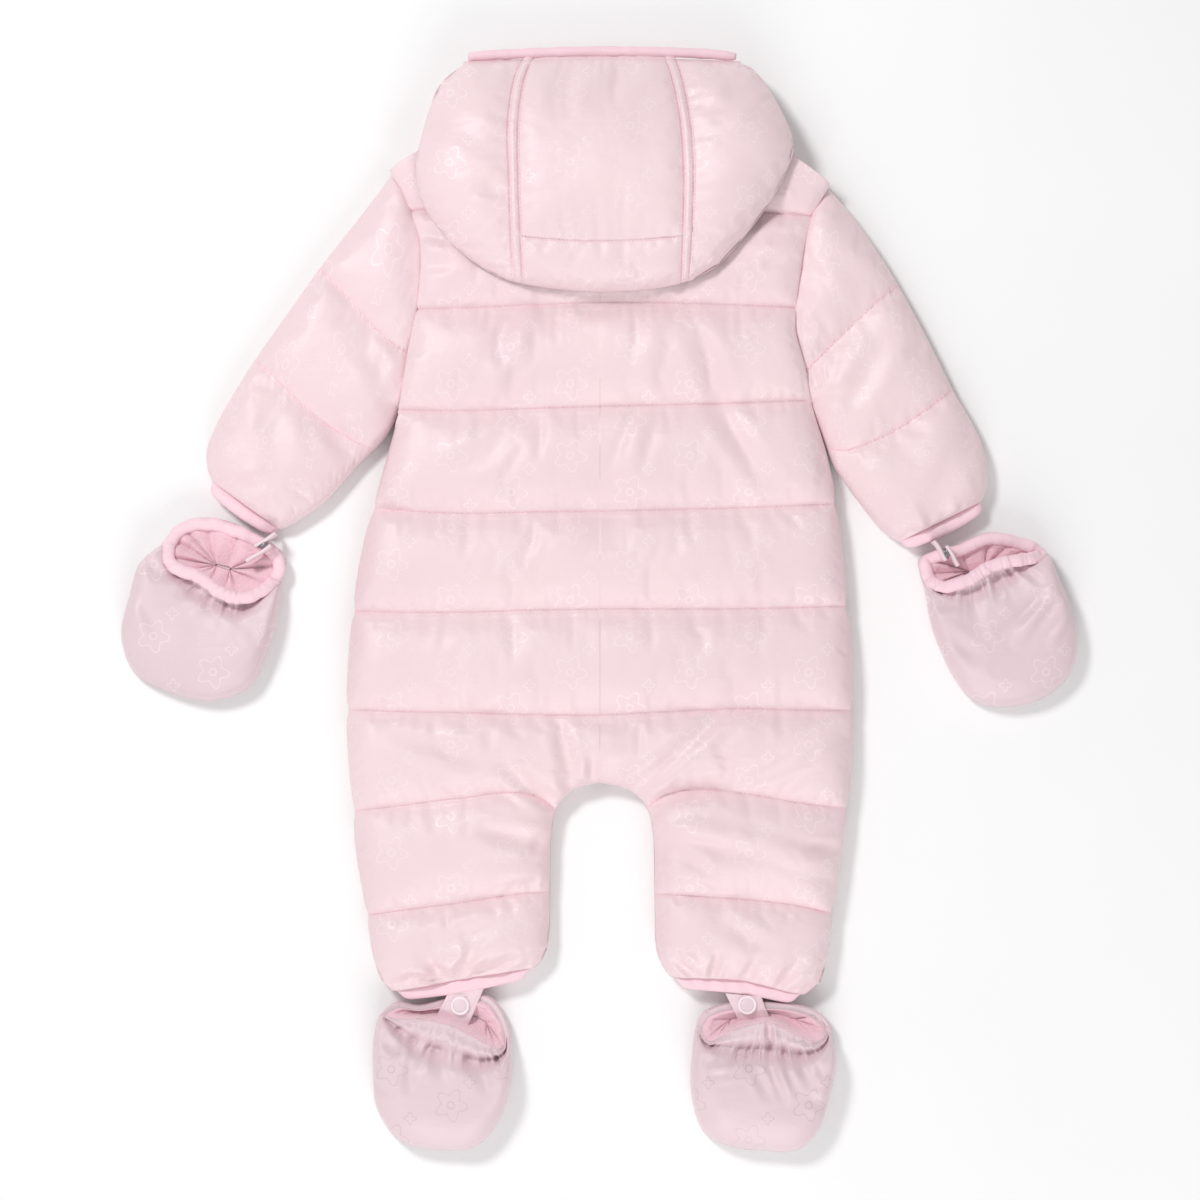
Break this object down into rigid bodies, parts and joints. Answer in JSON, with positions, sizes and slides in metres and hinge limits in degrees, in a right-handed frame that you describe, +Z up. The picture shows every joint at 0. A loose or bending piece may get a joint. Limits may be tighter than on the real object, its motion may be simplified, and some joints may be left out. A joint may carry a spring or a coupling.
{
  "type": "baby snowsuit",
  "caption": "Padded baby snowsuit laid face down, with a three panel hood, flat sleeves and legs, mittens on the cuffs and booties on the hems.",
  "frame": {"origin": "below the middle of the suit's overall box, on the surface it lies on", "axes": "+X across the suit to the right as seen from above, +Y from the hems to the hood, +Z up from the surface"},
  "size_m": [0.6149, 0.7099, 0.0531],
  "materials": {
    "quilted_satin": "satin",
    "strap_satin": "satin",
    "elastic_binding": "satin",
    "fleece_lining": "matte",
    "snap_plastic": "gloss",
    "steel": "polished",
    "zip_tape": "matte"
  },
  "bodies": {
    "suit": {"back": "quilted_satin", "front_left": "quilted_satin", "front_right": "quilted_satin", "sleeve_left": "quilted_satin", "sleeve_right": "quilted_satin", "hood_middle_upper": "quilted_satin", "hood_middle_lower": "quilted_satin", "hood_band_left": "quilted_satin", "hood_band_right": "quilted_satin", "hood_side_left": "quilted_satin", "hood_side_right": "quilted_satin", "hood_under": "quilted_satin", "mitten_left_shell": "quilted_satin", "bootie_left_shell": "quilted_satin", "mitten_right_shell": "quilted_satin", "bootie_right_shell": "quilted_satin", "mitten_left_strap": "strap_satin", "mitten_left_tab": "strap_satin", "bootie_left_strap": "strap_satin", "mitten_right_strap": "strap_satin", "mitten_right_tab": "strap_satin", "bootie_right_strap": "strap_satin", "cuff_binding_left": "elastic_binding", "cuff_binding_right": "elastic_binding", "hem_binding_left": "elastic_binding", "hem_binding_right": "elastic_binding", "hood_binding": "elastic_binding", "mitten_left_rim": "elastic_binding", "mitten_right_rim": "elastic_binding", "mitten_left_lining": "fleece_lining", "bootie_left_lining": "fleece_lining", "mitten_right_lining": "fleece_lining", "bootie_right_lining": "fleece_lining", "bootie_left_snap": "snap_plastic", "bootie_right_snap": "snap_plastic", "mitten_left_snap": "steel", "mitten_right_snap": "steel", "zip_slider": "steel", "zip_chain": "zip_tape"},
    "pull": {"zip_pull": "steel"}
  },
  "joints": [
    {"name": "pull_swing", "type": "hinge", "parent": "suit", "child": "pull", "pos_m": [0, 0.236, 0.00165], "axis": [1, 0, 0], "range_deg": [0, 180]}
  ]
}
